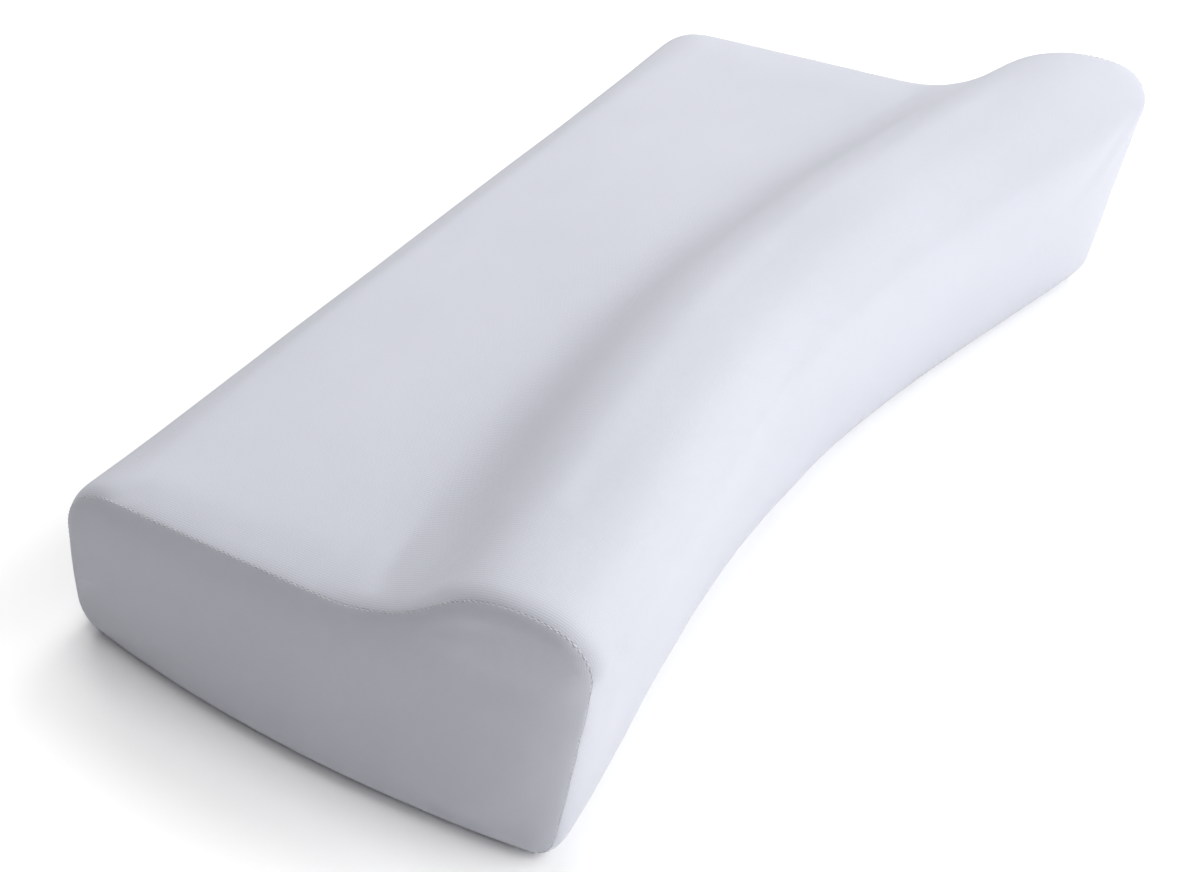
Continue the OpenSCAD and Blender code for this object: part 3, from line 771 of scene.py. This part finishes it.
SEAM_THREAD_DEPTH = 1.25
ZIP_STITCH_INSET = 2.2
ZIP_STITCH_DEPTH = 0.1
# Pitch, length, radius and arch of a stitch
SEAM_STITCH = (3.0 * MM, 2.5 * MM, 0.3 * MM, 0.3 * MM)
ZIP_STITCH = (3.5 * MM, 2.5 * MM, 0.24 * MM, 0.35 * MM)


def make_threads():
    """Stitches of the end seams, the front seam and the zip."""
    deep, flush = Skin(SEAM_THREAD_DEPTH), Skin(SEAM_THREAD_DEPTH - 1)
    for ring, side in zip(deep.seam_rings, ("left", "right")):
        path = deep.rings[ring] * MM
        out = flush.rings[ring] - deep.rings[ring]
        loop = list(range(COLS)) + [0]
        stitches("seam_stitches_" + side, path[loop], out[loop], *SEAM_STITCH, "seam_thread_" + side)
    first, last = deep.seam_rings
    seam = deep.rings[first + 1:last, SEAM_COL]
    out = flush.rings[first + 1:last, SEAM_COL] - seam
    stitches("seam_stitches_front", seam * MM, out, *SEAM_STITCH, "seam_thread_front")
    for node, up in (("zip_stitches_upper", 1), ("zip_stitches_lower", -1)):
        low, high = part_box(node)
        x = np.linspace(low.x, high.x, 60) / MM
        s = np.full_like(x, up * (ZIP_HALF_GAP + ZIP_STITCH_INSET))
        path = shaped(x, section(s, np.full_like(x, ZIP_STITCH_DEPTH)))
        out = shaped(x, section(s, np.full_like(x, ZIP_STITCH_DEPTH - 1))) - path
        stitches(node.replace("stitches", "topstitch"), path * MM, out, *ZIP_STITCH, node)


def rounded(node, name, width, material, body, segments=2):
    """A piece with a CAD node's form and its hard edges rounded over, in that node's place."""
    bm = bmesh.new()
    bm.from_mesh(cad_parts[node].data)
    bmesh.ops.remove_doubles(bm, verts=bm.verts, dist=0.004 * MM)
    bmesh.ops.dissolve_limit(bm, angle_limit=radians(1), verts=bm.verts, edges=bm.edges)
    mesh = bpy.data.meshes.new(name)
    bm.to_mesh(mesh)
    bm.free()
    mesh.polygons.foreach_set("use_smooth", [True] * len(mesh.polygons))
    obj = add_object(name, mesh)
    bevel = obj.modifiers.new("round_over", "BEVEL")
    bevel.width, bevel.segments = width, segments
    bevel.limit_method = "ANGLE"
    bevel.angle_limit = radians(35)
    bevel.use_clamp_overlap = True
    bevel.face_strength_mode = "FSTR_ALL"
    weighted = obj.modifiers.new("flat_faces", "WEIGHTED_NORMAL")
    weighted.weight = 100
    weighted.use_face_influence = True
    applied(obj)
    return dress(obj, material, body, node)


def make_cover():
    """The four cover panels: one grid, swollen, sunk along its seams, smoothed, puckered and cut."""
    skin = Skin(START_DEPTH, ZIP_DEPTH)
    whole = add_object("cover_whole", skin.mesh("cover_whole"))
    seam_ids = np.concatenate([skin.index[skin.seam_rings].ravel(),
                               skin.index[skin.seam_rings[0]:skin.seam_rings[1] + 1, SEAM_COL]])
    zip_ids = skin.index[skin.seam_rings[0]:skin.seam_rings[1] + 1][:, [1, 0, COLS - 1]].ravel()
    move = inflate(whole, np.concatenate([seam_ids, zip_ids]))
    co, out = positions(whole.data) + move, normals(whole.data)
    co[seam_ids] -= out[seam_ids] * SEAM_SINK * MM
    co[:, 2] = np.maximum(co[:, 2], 0)
    under = skin.co[:, 2] < (START_DEPTH + SAME_DEPTH) * MM
    co[under, 2] = np.minimum(co[under, 2], UNDERSIDE_TOP)
    whole.data.vertices.foreach_set("co", co.astype(np.float32).ravel())
    whole.modifiers.new("smooth", "SUBSURF").render_levels = 1
    whole.modifiers[0].levels = 1
    applied(whole)
    co, out = positions(whole.data), normals(whole.data)
    co += out * pucker(co)[:, None]
    co[:, 2] = np.maximum(co[:, 2], 0)
    whole.data.vertices.foreach_set("co", co.astype(np.float32).ravel())
    names = {TOP: "cover_top_panel", BASE: "cover_base_panel",
             LEFT: "cover_left_panel", RIGHT: "cover_right_panel"}
    nodes = ("cover_top", "cover_base", "cover_end_left", "cover_end_right")
    for obj, node in zip(split(whole, names), nodes):
        thicken(obj, CLOTH_THICK)
        dress(obj, cover_cloth, "pillow", node)
    bpy.data.objects.remove(whole)


# Depths below the cover's face
LINER_DEPTH, FOAM_DEPTH = 3.4, 4.6
LINER_THICK = 0.7 * MM


def make_inside():
    """Foam core and knitted liner, under the cover."""
    core = add_object("foam_body", Skin(FOAM_DEPTH).mesh("foam_body"))
    for f in core.data.polygons:
        f.material_index = 0
    core.modifiers.new("smooth", "SUBSURF").levels = 1
    applied(core)
    dress(core, foam_skin, "pillow", "foam_core")
    whole = add_object("liner_whole", Skin(LINER_DEPTH).mesh("liner_whole"))
    for f in whole.data.polygons:
        f.material_index = TOP if f.material_index in (TOP, BASE, GAP) else f.material_index
    names = {TOP: "liner_sleeve_knit", LEFT: "liner_left_knit", RIGHT: "liner_right_knit"}
    for obj, node in zip(split(whole, names), ("liner_sleeve", "liner_end_left", "liner_end_right")):
        thicken(obj, LINER_THICK)
        dress(obj, liner_cloth, "pillow", node)
    bpy.data.objects.remove(whole)


camera()
surroundings()
make_cover()
make_inside()
make_threads()
rounded("zip_teeth_upper", "teeth_upper", 0.18 * MM, plastic, "pillow")
rounded("zip_teeth_lower", "teeth_lower", 0.18 * MM, plastic, "pillow")
rounded("zip_top_stops", "top_stops", 0.3 * MM, plastic, "pillow", 3)
rounded("zip_bottom_stop", "bottom_stop", 0.3 * MM, plastic, "pillow", 3)
rounded("zip_slider", "slider_body", 0.2 * MM, painted, "slider", 3)
rounded("zip_pull", "pull_tab_grip", 0.25 * MM, painted, "pull_tab", 3)
for node in ("zip_tape_upper", "zip_tape_lower"):
    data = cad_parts[node].data
    data.materials.clear()
    data.materials.append(tape)
